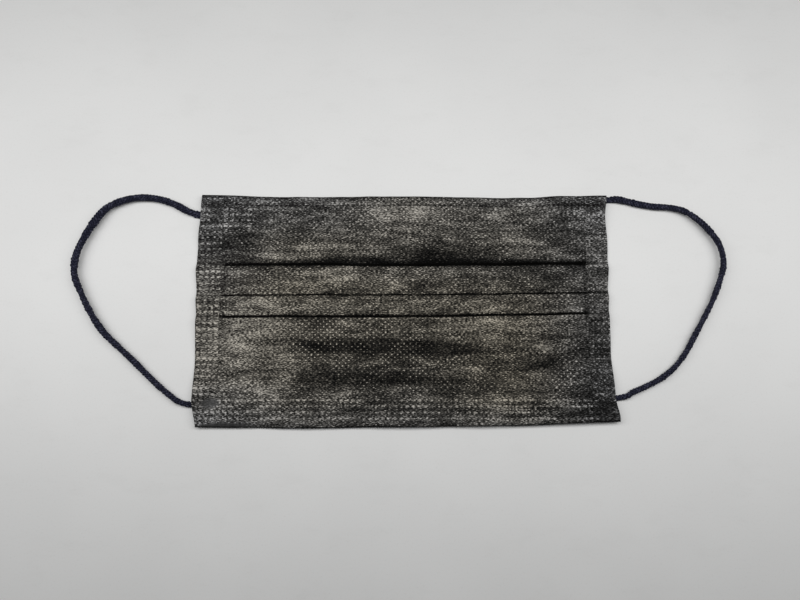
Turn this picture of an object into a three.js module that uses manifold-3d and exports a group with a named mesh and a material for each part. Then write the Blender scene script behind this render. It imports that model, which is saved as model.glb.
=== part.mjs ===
// A pleated face mask of spunbond cloth, lying flat with its outer side up and its two ear loops
// spread on the surface. Millimetres, +Z up. The origin is the middle of the panel's footprint,
// +X runs along the panel and +Y from its lower edge to its upper edge.
import * as THREE from "three";
import * as BufferGeometryUtils from "three/addons/utils/BufferGeometryUtils.js";
import Module from "manifold-3d";

const wasm = await Module();
wasm.setup();

// The cloth: three plies make one wall, and folded layers keep a small gap.
const clothWall = 1.0;
const layerGap = 0.3;
const foldRadius = (clothWall + layerGap) / 2;
const foldReach = foldRadius + clothWall / 2;
const clothClearance = 0.2;
const lowLayer = clothClearance + clothWall / 2;
const highLayer = lowLayer + 2 * foldRadius;

// The panel, folded flat.
const panelHalfLength = 87.5;
const topEdge = 49.0;
const bottomEdge = -48.8;
const topHemDepth = 6;
const bottomHemDepth = 12;
const hemBendRadius = 3;

// The side seams: all layers fused into one slab, a little proud of the folded cloth that it grips.
const seamWidth = 10;
const seamGrip = 0.5;
const seamSkin = 0.25;
const seamPress = 0.55;
const pressStart = 48;

// Each pleat: where its folded edge shows, how deep it is hidden under the strip that it carries,
// the height of its fold, and whether the strip above presses over the hidden end of the pleat.
const pleats = [
  { fold: 18.3, hiddenDepth: 10, foldHeight: 2.95, pressesOver: true },
  { fold: 5.5, hiddenDepth: 8, foldHeight: 4.1, pressesOver: false },
  { fold: -3.7, hiddenDepth: 11, foldHeight: 4.7, pressesOver: true },
];
const valleyBelowPleats = { y: -21.5, radius: 4 };

// Where the panel's two ends lie, for lines across the mask from the upper edge down.
const endTable = [
  { y: 49.0, left: -87.3, right: 87.3 },
  { y: 40.0, left: -87.4, right: 86.3 },
  { y: 29.0, left: -88.3, right: 87.3 },
  { y: 18.3, left: -88.7, right: 87.0 },
  { y: 5.5, left: -88.0, right: 86.3 },
  { y: -3.7, left: -87.6, right: 86.1 },
  { y: -17.0, left: -87.6, right: 86.5 },
  { y: -38.0, left: -87.6, right: 86.9 },
  { y: -48.8, left: -86.2, right: 88.5 },
];

// How far each line across the mask bows along Y, at five even places along it.
const bowTable = [
  { y: 49.0, left: 0.6, leftHalf: -0.2, middle: 0.0, rightHalf: -0.6, right: 0.1 },
  { y: 40.0, left: 0.4, leftHalf: -0.1, middle: 0.0, rightHalf: -0.4, right: 0.2 },
  { y: 18.3, left: 0.3, leftHalf: 0.1, middle: 0.0, rightHalf: 0.3, right: 0.9 },
  { y: 5.5, left: 0.0, leftHalf: 0.0, middle: 0.0, rightHalf: 0.4, right: 1.2 },
  { y: -3.7, left: 0.0, leftHalf: 0.0, middle: 0.0, rightHalf: 0.6, right: 1.7 },
  { y: -17.0, left: 0.0, leftHalf: -0.2, middle: 0.0, rightHalf: 0.8, right: 1.8 },
  { y: -38.0, left: 0.0, leftHalf: -0.5, middle: 0.0, rightHalf: 0.7, right: 1.9 },
  { y: -48.8, left: -0.1, leftHalf: -0.6, middle: 0.0, rightHalf: 0.5, right: 2.1 },
];

// How high the relaxed cloth stands above its pressed shape, at the same five places.
const liftTable = [
  { y: 49.0, left: 0.0, leftHalf: 0.5, middle: 0.9, rightHalf: 0.6, right: 0.0 },
  { y: 36.0, left: 0.0, leftHalf: 2.0, middle: 2.6, rightHalf: 2.4, right: 0.0 },
  { y: 27.5, left: 0.0, leftHalf: 2.3, middle: 3.0, rightHalf: 2.7, right: 0.0 },
  { y: 20.5, left: 0.0, leftHalf: 0.7, middle: 0.0, rightHalf: 0.3, right: 0.0 },
  { y: 12.0, left: 0.0, leftHalf: 0.2, middle: 0.0, rightHalf: 0.1, right: 0.0 },
  { y: -15.0, left: 0.0, leftHalf: 0.4, middle: 0.0, rightHalf: 0.2, right: 0.0 },
  { y: -21.0, left: 0.0, leftHalf: 1.6, middle: 0.0, rightHalf: 0.5, right: 0.0 },
  { y: -26.5, left: 0.0, leftHalf: 1.9, middle: 1.7, rightHalf: 1.3, right: 0.0 },
  { y: -32.0, left: 0.0, leftHalf: 1.5, middle: 0.0, rightHalf: 0.3, right: 0.0 },
  { y: -39.0, left: 0.0, leftHalf: 1.0, middle: 1.5, rightHalf: 1.8, right: 0.2 },
  { y: -48.8, left: 0.0, leftHalf: 0.8, middle: 1.6, rightHalf: 2.0, right: 0.8 },
];
const placesAcross = ["left", "leftHalf", "middle", "rightHalf", "right"];

// The ear loops: round knitted elastic whose two ends are pressed flat and fused under the corners.
const cordDiameter = 2.8;
const cordSides = 8;
const cordStep = 6.5;
const fusedWidth = 4.2;
const fusedThickness = 1.4;
const fusedSides = 12;
const fusedSteps = 6;
const swellLength = 2.6;
const clothOverEnd = fusedThickness + 0.35;
const liftedHalfWidth = 5.5;
const liftFade = 10;
const fusedEnds = [
  { name: "loop_weld_upper_left", innerX: -75, innerY: 38.3, outerX: -91.8, outerY: 42.2 },
  { name: "loop_weld_lower_left", innerX: -74.5, innerY: -38.4, outerX: -91.2, outerY: -39.0 },
  { name: "loop_weld_upper_right", innerX: 70.5, innerY: 46.2, outerX: 91.2, outerY: 47.7 },
  { name: "loop_weld_lower_right", innerX: 75, innerY: -39.2, outerX: 91.6, outerY: -35.9 },
];

// The loops' centrelines, from the upper fused end to the lower one.
const leftRoute = [
  [-92.15, 42.25, 1.5],
  [-99.1, 45.5, 1.5],
  [-106.2, 47.8, 1.7],
  [-113.8, 48.4, 2.0],
  [-121.1, 47.0, 2.3],
  [-128.0, 43.4, 2.6],
  [-132.9, 37.0, 2.8],
  [-136.7, 30.0, 2.9],
  [-139.4, 22.6, 2.9],
  [-139.5, 14.7, 2.9],
  [-136.0, 6.4, 2.8],
  [-131.2, -2.4, 2.6],
  [-125.9, -9.8, 2.3],
  [-119.9, -15.5, 2.0],
  [-113.3, -21.4, 1.8],
  [-106.9, -27.5, 1.6],
  [-100.8, -33.0, 1.5],
  [-95.9, -36.8, 1.5],
  [-93.5, -38.65, 1.5],
  [-91.55, -39.0, 1.5],
];
const rightRoute = [
  [91.55, 47.7, 1.5],
  [95.8, 46.9, 1.5],
  [101.5, 45.5, 1.6],
  [107.8, 44.4, 1.8],
  [114.1, 43.9, 2.1],
  [120.2, 42.3, 2.4],
  [125.6, 38.5, 2.7],
  [130.5, 33.3, 2.8],
  [134.2, 27.2, 2.9],
  [135.3, 19.3, 2.9],
  [133.1, 11.5, 2.8],
  [129.8, 3.6, 2.6],
  [125.7, -3.9, 2.4],
  [121.4, -11.4, 2.1],
  [117.2, -18.6, 1.8],
  [112.4, -24.5, 1.6],
  [106.5, -29.1, 1.5],
  [99.3, -32.7, 1.5],
  [94.5, -34.7, 1.5],
  [91.95, -35.8, 1.5],
];

// Mesh density.
const bendStep = THREE.MathUtils.degToRad(40);
const longestRun = 5;
const stepsAcross = 20;
const evenShare = 0.6;
const longestFootRun = 3;
const seamSteps = 3;
const coincident = 1e-5;

// The cloth passes over the centre of a bend or under it, seen as it runs from the upper edge down.
const over = 1;
const under = -1;

const sheetBends = listBends();

function listBends() {
  const topHemEnd = topEdge - topHemDepth;
  const bottomHemStart = bottomEdge + bottomHemDepth;
  const bends = [
    { y: topHemEnd, z: lowLayer, radius: 0, side: over },
    { y: topEdge - foldReach, z: lowLayer + foldRadius, radius: foldRadius, side: over },
    { y: topHemEnd, z: highLayer - hemBendRadius, radius: hemBendRadius, side: over },
  ];
  for (const pleat of pleats) {
    const tuck = {
      y: pleat.fold - pleat.hiddenDepth + foldReach,
      z: lowLayer + foldRadius,
      radius: foldRadius,
      side: under,
    };
    bends.push(tuck);
    bends.push({ y: pleat.fold - foldReach, z: pleat.foldHeight, radius: foldRadius, side: over });
    if (pleat.pressesOver) {
      bends.push({ y: tuck.y, z: tuck.z, radius: 3 * foldRadius, side: over });
    }
  }
  const { y: valleyY, radius: valleyRadius } = valleyBelowPleats;
  bends.push({ y: valleyY, z: lowLayer + valleyRadius, radius: valleyRadius, side: under });
  bends.push({ y: bottomHemStart, z: highLayer - hemBendRadius, radius: hemBendRadius, side: over });
  bends.push({ y: bottomEdge + foldReach, z: lowLayer + foldRadius, radius: foldRadius, side: over });
  bends.push({ y: bottomHemStart, z: lowLayer, radius: 0, side: over });
  return bends;
}

// The direction of the straight run that touches two bends, as a belt touches two pulleys.
function runDirection(from, to) {
  const straight = Math.atan2(to.z - from.z, to.y - from.y);
  const distance = Math.hypot(to.y - from.y, to.z - from.z);
  return straight + Math.asin((from.side * from.radius - to.side * to.radius) / distance);
}

// One face of the folded sheet, as points (y, z). A positive offset gives the face that shows.
function sheetFace(offset) {
  const points = [];
  const last = sheetBends.length - 1;
  sheetBends.forEach((bend, i) => {
    const directionIn = runDirection(sheetBends[Math.max(i - 1, 0)], sheetBends[Math.max(i, 1)]);
    const directionOut = i < last ? runDirection(bend, sheetBends[i + 1]) : directionIn;
    const turn = THREE.MathUtils.euclideanModulo(bend.side * (directionOut - directionIn), 2 * Math.PI);
    const arcSteps = Math.ceil(turn / bendStep);
    const radius = bend.side * bend.radius + offset;
    const arc = [];
    for (let k = 0; k <= arcSteps; k += 1) {
      const share = arcSteps > 0 ? k / arcSteps : 0;
      const direction = directionIn + bend.side * turn * share;
      const y = bend.y + radius * Math.sin(direction);
      const z = bend.z - radius * Math.cos(direction);
      arc.push(new THREE.Vector2(y, z));
    }
    if (i > 0) {
      const before = sheetBends[i - 1];
      const runLength = Math.hypot(bend.y - before.y, bend.z - before.z);
      addRun(points, arc[0], Math.ceil(runLength / longestRun));
    }
    points.push(...arc);
  });
  return points;
}

function addRun(points, end, pieces) {
  const start = points[points.length - 1];
  for (let k = 1; k < pieces; k += 1) {
    points.push(start.clone().lerp(end, k / pieces));
  }
}

function foldedSheetSection() {
  const outerFace = sheetFace(clothWall / 2);
  const innerFace = sheetFace(-clothWall / 2);
  return [...outerFace, ...innerFace.reverse()];
}

// The side seam's section: the steps that the folded cloth shows from above, filled to the surface.
function seamSection() {
  const face = sheetFace(clothWall / 2 + seamSkin);
  const reach = face.map((point) => point.x);
  const upperEnd = reach.indexOf(Math.max(...reach));
  const lowerEnd = reach.indexOf(Math.min(...reach));
  const steps = [];
  for (const point of face.slice(upperEnd, lowerEnd + 1).reverse()) {
    if (steps.length === 0 || point.x > steps[steps.length - 1].x) {
      steps.push(point);
    }
  }
  const foot = [new THREE.Vector2(steps[0].x, 0)];
  const upperFoot = new THREE.Vector2(steps[steps.length - 1].x, 0);
  addRun(foot, upperFoot, Math.ceil((upperFoot.x - foot[0].x) / longestFootRun));
  return [...foot, upperFoot, ...steps.reverse()];
}

// A column of a table at any y, eased between its rows.
function tableValue(table, y, column) {
  const below = table.findIndex((row) => row.y <= y);
  if (below <= 0) {
    const endRow = below === 0 ? table[0] : table[table.length - 1];
    return endRow[column];
  }
  const upperRow = table[below - 1];
  const lowerRow = table[below];
  const share = THREE.MathUtils.smoothstep(upperRow.y - y, 0, upperRow.y - lowerRow.y);
  return THREE.MathUtils.lerp(upperRow[column], lowerRow[column], share);
}

// A table's value at any point of the panel, eased between its five places across.
function acrossValue(table, x, y) {
  const spans = placesAcross.length - 1;
  const position = THREE.MathUtils.clamp((x / panelHalfLength + 1) / 2, 0, 1) * spans;
  const place = Math.min(Math.floor(position), spans - 1);
  const share = THREE.MathUtils.smoothstep(position - place, 0, 1);
  const before = tableValue(table, y, placesAcross[place]);
  const after = tableValue(table, y, placesAcross[place + 1]);
  return THREE.MathUtils.lerp(before, after, share);
}

// How far the flattened loop ends raise the corners that lie on them.
function cornerLift(x, y) {
  const point = new THREE.Vector3(x, y, 0);
  const nearest = new THREE.Vector3();
  let closest = Infinity;
  for (const end of fusedEnds) {
    const inner = new THREE.Vector3(end.innerX, end.innerY, 0);
    const outer = new THREE.Vector3(end.outerX, end.outerY, 0);
    new THREE.Line3(inner, outer).closestPointToPoint(point, true, nearest);
    closest = Math.min(closest, nearest.distanceTo(point));
  }
  const fade = THREE.MathUtils.smoothstep(closest, liftedHalfWidth, liftedHalfWidth + liftFade);
  return clothOverEnd * (1 - fade);
}

// Moves a point of the straight folded shape to where the relaxed cloth holds it.
function layDown(x, y, z) {
  const seamStart = panelHalfLength - seamWidth;
  const pressed = THREE.MathUtils.smoothstep(Math.abs(x), pressStart, seamStart);
  const piledHeight = Math.max(z - clothClearance - clothWall, 0);
  const pressedZ = z - piledHeight * (1 - seamPress) * pressed;
  const end = Math.abs(tableValue(endTable, y, x < 0 ? "left" : "right"));
  const intoSeam = Math.max(Math.abs(x) - seamStart, 0);
  const laidX = x + (Math.sign(x) * intoSeam * (end - panelHalfLength)) / seamWidth;
  const laidY = y + acrossValue(bowTable, x, y);
  const laidZ = pressedZ + acrossValue(liftTable, x, y) + cornerLift(laidX, laidY);
  return new THREE.Vector3(laidX, laidY, laidZ);
}

// A closed solid through equal rings of points: the sides join ring to ring, and both ends are filled.
function loft(rings) {
  const size = rings[0].length;
  const indices = [];
  for (let start = 0; start < (rings.length - 1) * size; start += size) {
    for (let i = 0; i < size; i += 1) {
      const here = start + i;
      const next = start + ((i + 1) % size);
      indices.push(here, next, next + size, here, next + size, here + size);
    }
  }
  const fillEnd = (ring) => {
    const outline = ring.map((point) => new THREE.Vector2(point.y, point.z));
    return THREE.ShapeUtils.triangulateShape(outline, []).flat();
  };
  const lastRing = (rings.length - 1) * size;
  indices.push(...fillEnd(rings[0]).reverse());
  indices.push(...fillEnd(rings[rings.length - 1]).map((index) => index + lastRing));
  const geometry = new THREE.BufferGeometry().setFromPoints(rings.flat());
  geometry.setIndex(indices);
  return geometry;
}

// A solid of one section (y, z) through places along X, laid down as the relaxed cloth lies.
function layAcross(section, places) {
  return loft(places.map((x) => section.map((point) => layDown(x, point.x, point.y))));
}

function toSolid(geometry) {
  const bare = geometry.clone();
  bare.deleteAttribute("normal");
  bare.deleteAttribute("uv");
  const merged = BufferGeometryUtils.mergeVertices(bare, coincident);
  const vertProperties = Float32Array.from(merged.getAttribute("position").array);
  const triVerts = Uint32Array.from(merged.index.array);
  return new wasm.Manifold(new wasm.Mesh({ numProp: 3, vertProperties, triVerts }));
}

function toGeometry(solid) {
  const mesh = solid.getMesh();
  const geometry = new THREE.BufferGeometry();
  geometry.setAttribute("position", new THREE.BufferAttribute(mesh.vertProperties, 3));
  geometry.setIndex(new THREE.BufferAttribute(mesh.triVerts, 1));
  geometry.computeVertexNormals();
  return geometry;
}

// Evenly spaced places from one x to another, both included.
function spread(from, to, steps) {
  return Array.from({ length: steps + 1 }, (_, i) => THREE.MathUtils.lerp(from, to, i / steps));
}

function pleatedPanel() {
  const seamStart = panelHalfLength - seamWidth;
  const freeHalfLength = seamStart - seamGrip;
  const freePlaces = spread(-1, 1, stepsAcross).map((even) => {
    const denserAtEnds = Math.sin((even * Math.PI) / 2);
    return freeHalfLength * THREE.MathUtils.lerp(denserAtEnds, even, evenShare);
  });
  const grippedPlace = seamStart + seamGrip;
  const cloth = layAcross(foldedSheetSection(), [-grippedPlace, ...freePlaces, grippedPlace]);
  const leftSeam = layAcross(seamSection(), spread(-panelHalfLength, -seamStart, seamSteps));
  const rightSeam = layAcross(seamSection(), spread(seamStart, panelHalfLength, seamSteps));
  return toGeometry(toSolid(cloth).add(toSolid(leftSeam)).add(toSolid(rightSeam)));
}

function roundSection(radius, sides) {
  const points = [];
  for (let k = 0; k < sides; k += 1) {
    const angle = (2 * Math.PI * (k + 0.5)) / sides;
    points.push(new THREE.Vector2(radius * Math.cos(angle), radius * Math.sin(angle)));
  }
  return new THREE.Shape(points);
}

// A loop's end: flat under the cloth, and swelling to the cord's full round just outside the panel.
function fusedEnd({ innerX, innerY, outerX, outerY }) {
  const settings = { depth: 1, steps: fusedSteps, bevelEnabled: false };
  const geometry = new THREE.ExtrudeGeometry(roundSection(1, fusedSides), settings);
  const inner = new THREE.Vector3(innerX, innerY, 0);
  const run = new THREE.Vector3(outerX, outerY, 0).sub(inner);
  const length = run.length();
  const sideways = new THREE.Vector3(0, 0, 1).cross(run).normalize();
  const places = geometry.getAttribute("position");
  for (let i = 0; i < places.count; i += 1) {
    const share = 1 - (1 - places.getZ(i)) ** 2;
    const swell = THREE.MathUtils.smoothstep(share * length, length - swellLength, length);
    const halfWidth = THREE.MathUtils.lerp(fusedWidth, cordDiameter, swell) / 2;
    const halfHeight = THREE.MathUtils.lerp(fusedThickness, cordDiameter, swell) / 2;
    const centre = inner.clone().addScaledVector(run, share);
    centre.addScaledVector(sideways, places.getX(i) * halfWidth);
    const z = halfHeight * (1 + places.getY(i));
    places.setXYZ(i, centre.x, centre.y, z);
  }
  geometry.computeVertexNormals();
  return geometry;
}

function earLoop(route) {
  const path = new THREE.CatmullRomCurve3(route.map((point) => new THREE.Vector3(...point)));
  const steps = Math.round(path.getLength() / cordStep);
  const section = roundSection(cordDiameter / 2, cordSides);
  return new THREE.ExtrudeGeometry(section, { extrudePath: path, steps, bevelEnabled: false });
}

const clothMaterial = new THREE.MeshStandardMaterial({ color: 0x45433f, roughness: 0.85, metalness: 0 });
const elasticMaterial = new THREE.MeshStandardMaterial({ color: 0x191b2c, roughness: 0.75, metalness: 0 });
const fusedMaterial = new THREE.MeshStandardMaterial({ color: 0x1b1d2b, roughness: 0.45, metalness: 0 });

const group = new THREE.Group();

function addPiece(name, geometry, material) {
  const mesh = new THREE.Mesh(geometry, material);
  mesh.name = name;
  group.add(mesh);
}

addPiece("pleated_panel", pleatedPanel(), clothMaterial);
addPiece("ear_loop_left", earLoop(leftRoute), elasticMaterial);
addPiece("ear_loop_right", earLoop(rightRoute), elasticMaterial);
for (const end of fusedEnds) {
  addPiece(end.name, fusedEnd(end), fusedMaterial);
}

export default group;
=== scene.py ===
"""Dresses a packed pleated face mask: a folded panel of charcoal spunbond cloth with fused side
seams, and two braided elastic ear loops whose flattened ends are fused under its corners. The
mask lies on its back on a pale table. Metres, +Z up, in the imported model's own frame."""

from collections import namedtuple
from functools import partialmethod

import bpy
import numpy as np
from bpy.props import FloatProperty, FloatVectorProperty, IntProperty, PointerProperty
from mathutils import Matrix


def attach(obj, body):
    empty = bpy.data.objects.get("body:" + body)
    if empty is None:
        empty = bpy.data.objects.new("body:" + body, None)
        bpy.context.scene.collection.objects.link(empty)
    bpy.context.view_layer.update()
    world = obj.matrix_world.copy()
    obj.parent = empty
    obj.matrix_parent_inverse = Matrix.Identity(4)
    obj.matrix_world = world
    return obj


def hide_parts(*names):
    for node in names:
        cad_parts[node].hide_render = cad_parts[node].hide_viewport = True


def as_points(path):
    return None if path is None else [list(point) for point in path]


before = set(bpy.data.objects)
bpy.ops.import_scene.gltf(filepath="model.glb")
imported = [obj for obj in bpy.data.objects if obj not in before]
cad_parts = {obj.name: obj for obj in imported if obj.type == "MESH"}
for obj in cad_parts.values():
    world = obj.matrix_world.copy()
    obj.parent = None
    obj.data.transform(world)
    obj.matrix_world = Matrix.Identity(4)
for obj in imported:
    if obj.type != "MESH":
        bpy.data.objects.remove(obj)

bl_info = {
    "name": "Pleated Face Mask",
    "version": (1, 0, 0),
    "blender": (4, 5, 0),
    "location": "View3D > Sidebar > Face Mask",
    "description": "Builds a pleated spunbond face mask with its elastic ear loops",
    "category": "Add Mesh",
}

MM = 0.001
TURN = 2.0 * np.pi
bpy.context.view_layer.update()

# The panel as it lies: its half length, its upper and lower edges, its hems and its side seams.
HALF_LENGTH = 87.5 * MM
UPPER_EDGE = 49 * MM
LOWER_EDGE = -48.8 * MM
UPPER_HEM = 6 * MM
LOWER_HEM = 12 * MM
HEM_BEND = 3 * MM
SEAM_WIDTH = 10 * MM
SEAM_START = HALF_LENGTH - SEAM_WIDTH
SEAM_GRIP = 0.5 * MM
SEAM_PRESS = 0.55
PRESS_START = 48 * MM
LEAST_HEIGHT = 0.03 * MM

# Each pleat in millimetres: where its folded edge shows, how deep it is hidden under the strip that
# it carries, its height, and whether the strip above presses over its hidden end. Beside the folded
# edge lies a groove of the given width, painted with shade of the given darkness. The last pair
# says how much of that painted shade shows on each seam.
Pleat = namedtuple("Pleat", "fold hidden height presses_over width darkness left right")
PLEATS = (
    Pleat(18.3, 10, 2.75, True, 0.75, 1.2, 0.15, 0.05),
    Pleat(5.5, 8, 3.8, False, 0.42, 1, 0.22, 0.45),
    Pleat(-3.7, 11, 4.35, True, 0.5, 1.2, 0.25, 0.12),
)
VALLEY_Y = -21.5 * MM
VALLEY_RADIUS = 4 * MM

# Where the panel's two ends lie, in millimetres: y, left end, right end.
END_TABLE = (
    (49, -87.3, 87.3),
    (40, -87.4, 86.3),
    (29, -88.3, 87.3),
    (18.3, -88.7, 87),
    (5.5, -88, 86.3),
    (-3.7, -87.6, 86.1),
    (-17, -87.6, 86.5),
    (-38, -87.6, 86.9),
    (-48.8, -85.8, 88.5),
)

# How far each line across bows along Y, in millimetres: y, then five even places from the left.
BOW_TABLE = (
    (49, 0.6, -0.2, 0, -0.6, 0.1),
    (40, 0.4, -0.1, 0, -0.4, 0.2),
    (18.3, 0.3, 0.1, 0, 0.3, 0.9),
    (5.5, 0, 0, 0, 0.4, 1.2),
    (-3.7, 0, 0, 0, 0.6, 1.7),
    (-17, 0, -0.2, 0, 0.8, 1.8),
    (-38, 0, -0.5, 0, 0.7, 1.9),
    (-48.8, -0.1, -0.6, 0, 0.5, 2.1),
)

# How high the relaxed cloth stands above its pressed shape, in millimetres, at the same places.
LIFT_TABLE = (
    (49, 0, 0.5, 0.9, 0.6, 0),
    (36, 0, 2, 2.6, 2.4, 0),
    (27.5, 0, 2.3, 3, 2.7, 0),
    (20.5, 0, 0.7, 0, 0.3, 0),
    (12, 0, 0.2, 0, 0.1, 0),
    (-15, 0, 0.4, 0, 0.2, 0),
    (-21, 0, 1.6, 0, 0.5, 0),
    (-26.5, 0, 1.9, 1.7, 1.3, 0),
    (-32, 0, 1.5, 0, 0.3, 0),
    (-39, 0, 1, 1.5, 1.8, 0.2),
    (-48.8, 0, 0.8, 1.6, 2, 0.8),
)

# How warm the cloth's grey is, from 0 to 1, at the same places.
WARMTH_TABLE = (
    (49, 0, 0.15, 0.5, 0.3, 0),
    (40, 0.1, 0.3, 0.6, 0.5, 0.05),
    (26, 0.2, 0.75, 0.65, 0.65, 0.2),
    (17, 0.4, 0.8, 0.7, 0.6, 0.2),
    (8, 0.5, 0.95, 0.9, 0.85, 0.25),
    (-1, 0.6, 0.85, 0.9, 0.95, 0.15),
    (-19, 0.65, 0.85, 0.85, 1, 0.1),
    (-28, 0.6, 0.8, 0.75, 1, 0),
    (-37, 0.35, 0.65, 0.6, 0.9, 0),
    (-46, 0.1, 0.4, 0.35, 0.5, 0),
    (-48.8, 0, 0.3, 0.3, 0.3, 0),
)

# Creases and dents in the cloth, in millimetres: the middle, the half length and half width, the
# depth, and the turn from +X in degrees where there is one.
DENTS = (
    (62, -22, 17, 2.2, 0.7, 17),
    (-78.9, -38.5, 4.4, 2, 0.35),
    (12, 21.5, 34, 3.2, 0.5, 2),
)

# Where the cloth is painted dark, below zero, or pale, above zero, laid out as the dents are:
# painted shade along the valleys, the creases and the wedge above the top fold, among random
# patches where the filaments lie denser and paler or thinner and darker.
SHADE_AND_TONE_PATCHES = (
    (-72, 27, 13, 5, -0.27, 8), (-68, -16, 23, 21, 0.14, 70), (-57, 4, 10, 6, 0.07, 30),
    (-42, 12, 26, 4, 0.17, 6), (-22, -29.5, 25, 4.6, -0.23), (-6, -16.4, 40, 2.9, -0.39, -1.5),
    (-2, 41, 20, 6, 0.24), (0, -41.5, 46, 4.5, -0.13), (4, 20.4, 64, 1.6, -0.48),
    (14, -31.6, 22, 3.2, -0.28, -4), (0, -23, 44, 12, -0.07), (15, 22.8, 25, 3.6, -0.16),
    (45, -7.5, 18, 4.2, 0.19), (79, -43.5, 16, 5, -0.23), (81, -21, 25, 8, -0.18, 95),
    (-84, 41, 4, 8, -0.08), (-83, 15, 9, 5, 0.13, 90), (-79.8, -39.2, 3.6, 1.9, 0.06, 4),
    (-78.7, 11, 5, 3, -0.2), (-75.5, 40, 2.5, 4.5, -0.23), (-67, -10, 9, 6, 0.09),
    (-75.4, 35.6, 1.7, 0.9, 0.28, -15), (-67, 42, 8, 5, -0.13), (-64, -43, 20, 4, 0.06),
    (-66, 46.5, 5, 2, 0.19), (-60, 15, 5, 3, -0.19), (-57, -36, 6, 5, 0.2), (-56, 38, 5, 4, 0.08),
    (-55, 23, 6, 2.6, 0.09), (-46.5, -23, 6, 4, 0.16), (-45, 32.5, 8, 4, -0.2),
    (-42, -41, 12, 4.5, -0.13), (-38, -16.5, 6, 3, -0.28), (-37.5, -5.8, 8, 2.2, -0.36),
    (-36, 25.2, 20, 2.8, 0.13, 3), (-32, -33.5, 4, 5, 0.16), (-32, -25.5, 5, 3, -0.28),
    (-28, 1, 14, 3, 0.12), (-28, -37.5, 9, 3, 0.11), (-24, -34, 5, 3, 0.23),
    (-24, 20.8, 12, 1.8, -0.17), (-15, -49, 15, 1.6, -0.12), (-14, 16, 6, 4, -0.24),
    (-14, -19, 7, 2.2, -0.28), (-8, 12, 8, 4, 0.12), (-5, 0, 5, 3, 0.14), (8, -14, 6, 2, -0.33),
    (8, 8.5, 6, 4.5, -0.2), (13, 28, 5, 3, -0.27), (14, 22, 8, 3, -0.25),
    (18, -17.6, 10, 2.6, -0.16), (18.8, -38.7, 6, 3, -0.12), (27, -46.8, 5, 2.5, 0.25),
    (28, 8.5, 6, 5, -0.08), (28, -32, 6, 3, 0.11), (31, 0, 9, 3, 0.1), (37, -38, 6, 4, 0.12),
    (38, -45, 4, 3, 0.05), (40, 41, 6, 4, 0.24), (45, 20, 14, 1.4, -0.22), (46, 15, 8, 4, -0.11),
    (47, -33, 4, 4, 0.16), (52, 44, 7, 3, 0.18), (56, -41, 5, 3, -0.17),
    (58.5, -16.5, 4, 2.5, 0.32), (61, -21.6, 16, 1.9, -0.22, 17), (62, -12, 6, 4, -0.09),
    (62, 32, 12, 4, -0.22, -20), (62, -23.2, 9, 1.8, -0.36, 12), (63.5, 14.5, 6, 4, -0.21),
    (71.5, 39, 5, 4.5, -0.11), (72, 17, 5, 3, -0.18), (72, -35, 8, 4, -0.22, -20),
    (72, 0, 4, 3, 0.23), (75.5, 44.5, 8.5, 1.6, -0.23), (78, 21, 4, 2, -0.32), (82, 22, 5, 9, 0.09),
)

# Where the bond points stand out from the filaments, laid out as the dents are.
POINT_FIELDS = (
    (-36, -12, 12, 9, 0.45),
    (-10, -20, 34, 15, 0.45, -14),
    (82, -16, 5.5, 24, 0.6, 2),
    (66, -30, 12, 10, 0.3),
)

# A field of bars pressed where a loop's end is welded, in millimetres: the middle and half sizes.
WELD_FIELD = (-70.8, 39.2, 6.4, 5.8)

# Where the sealing tool melted the cloth smooth, laid out as the dents are.
SMOOTH_SPOTS = (
    (-79.8, -39.2, 4.2, 2.2, 0.75, 4),
    (-73, -48, 14, 0.9, 0.8),
)

# The flattened ends of the loops, in millimetres: the inner end under the cloth and the outer end.
FUSED_ENDS = {
    "upper_left": ((-75.0, 38.3), (-91.4, 41.6)),
    "lower_left": ((-74.5, -38.4), (-90.6, -42.2)),
    "upper_right": ((70.5, 46.2), (91.2, 47.7)),
    "lower_right": ((75.0, -39.2), (91.2, -36.8)),
}
FUSED_WIDTH = 4.2 * MM
FUSED_THICKNESS = 1.4 * MM
SWELL_LENGTH = 2.6 * MM
CLOTH_OVER_END = 1.75 * MM
LIFTED_HALF_WIDTH = 4 * MM
LIFT_FADE = 14 * MM

# The loops' centrelines in millimetres, from the upper fused end to the lower one.
LOOP_ROUTES = {
    "left": (
        (-92.1, 41.95, 1.5), (-99.1, 45.5, 1.5), (-106.2, 47.8, 1.7), (-113.8, 48.4, 2),
        (-121.1, 47, 2.3), (-128, 43.4, 2.6), (-132.9, 37, 2.8), (-136.7, 30, 2.9),
        (-139.4, 22.6, 2.9), (-139.5, 14.7, 2.9), (-136, 6.4, 2.8), (-131.2, -2.4, 2.6),
        (-125.9, -9.8, 2.3), (-119.9, -15.5, 2), (-113.3, -21.4, 1.8), (-106.9, -27.5, 1.6),
        (-100.8, -33, 1.5), (-95.9, -36.8, 1.5), (-94.3, -38, 1.5), (-90.9, -39.35, 1.5),
    ),
    "right": (
        (91.55, 47.7, 1.5), (95.8, 46.9, 1.5), (101.5, 45.5, 1.6), (107.8, 44.4, 1.8),
        (114.1, 43.9, 2.1), (120.2, 42.3, 2.4), (125.6, 38.5, 2.7), (130.5, 33.3, 2.8),
        (134.2, 27.2, 2.9), (135.3, 19.3, 2.9), (133.1, 11.5, 2.8), (129.8, 3.6, 2.6),
        (125.7, -3.9, 2.4), (121.4, -11.4, 2.1), (117.2, -18.6, 1.8), (112.4, -24.5, 1.6),
        (106.5, -29.1, 1.5), (99.3, -32.7, 1.5), (94.5, -34.8, 1.5), (92, -36.3, 1.5),
    ),
}

# How wide the flat, twisted elastic lies as a share of its thickness, at even places down a loop.
LOOP_WIDTHS = {
    "left": (1.0, 0.95, 1.02, 0.78, 0.88, 0.82, 0.78),
    "right": (0.93, 0.82, 0.76, 0.70, 0.68, 0.74, 0.77),
}

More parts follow.
